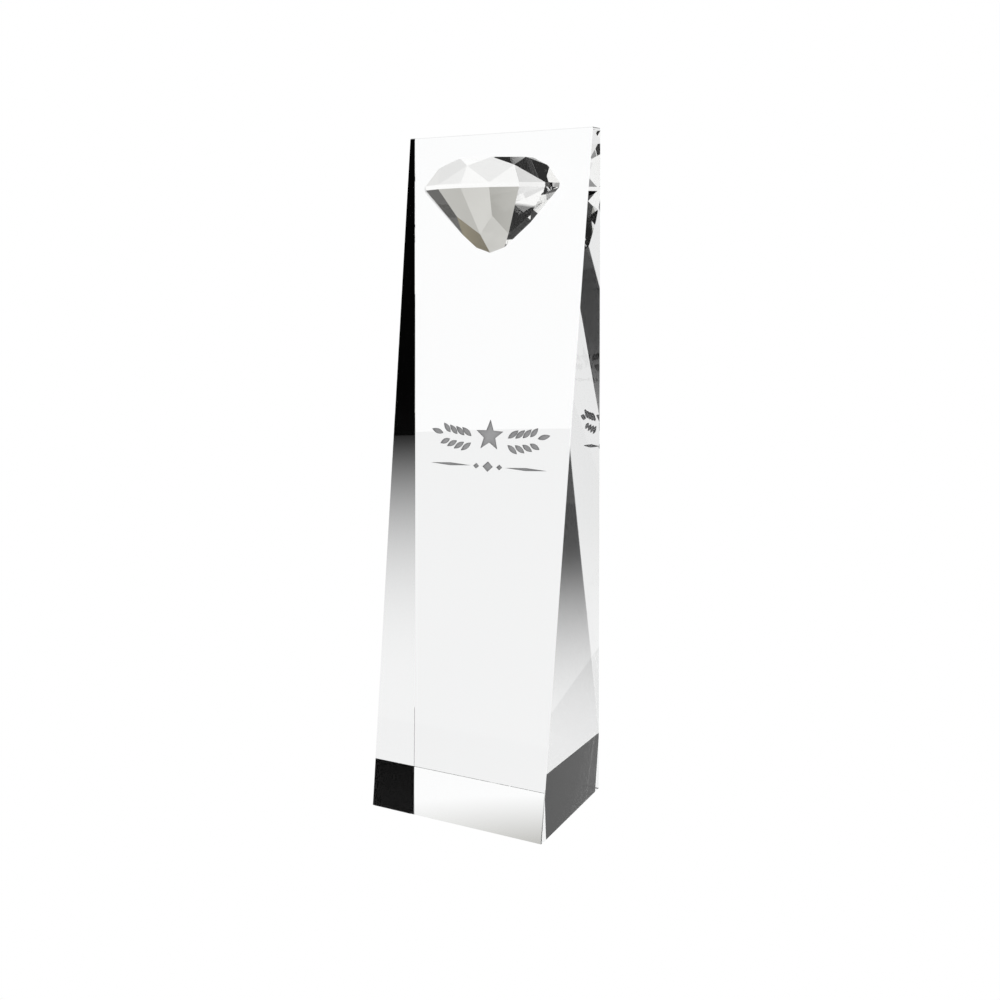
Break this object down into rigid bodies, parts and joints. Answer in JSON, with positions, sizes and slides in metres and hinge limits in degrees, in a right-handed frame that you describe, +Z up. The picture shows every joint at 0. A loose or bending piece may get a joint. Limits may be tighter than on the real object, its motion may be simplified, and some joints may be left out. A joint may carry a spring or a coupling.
{
  "type": "crystal award",
  "caption": "Clear crystal wedge tower with a sloping front, a faceted half diamond bonded near its top and an etched ornament.",
  "frame": {"origin": "middle of the bounding box at the rest face", "axes": "+Z up the tower, -Y out of the sloping front face, +X to the right as seen from the front"},
  "size_m": [0.06, 0.0425, 0.203],
  "materials": {
    "tower_crystal": "polished clear optical crystal",
    "diamond_crystal": "polished clear optical crystal with softened facet edges",
    "cured_adhesive": "clear cured adhesive"
  },
  "bodies": {
    "root": {"crystal_tower": "tower_crystal", "half_diamond": "diamond_crystal", "bond_film": "cured_adhesive"}
  },
  "joints": []
}
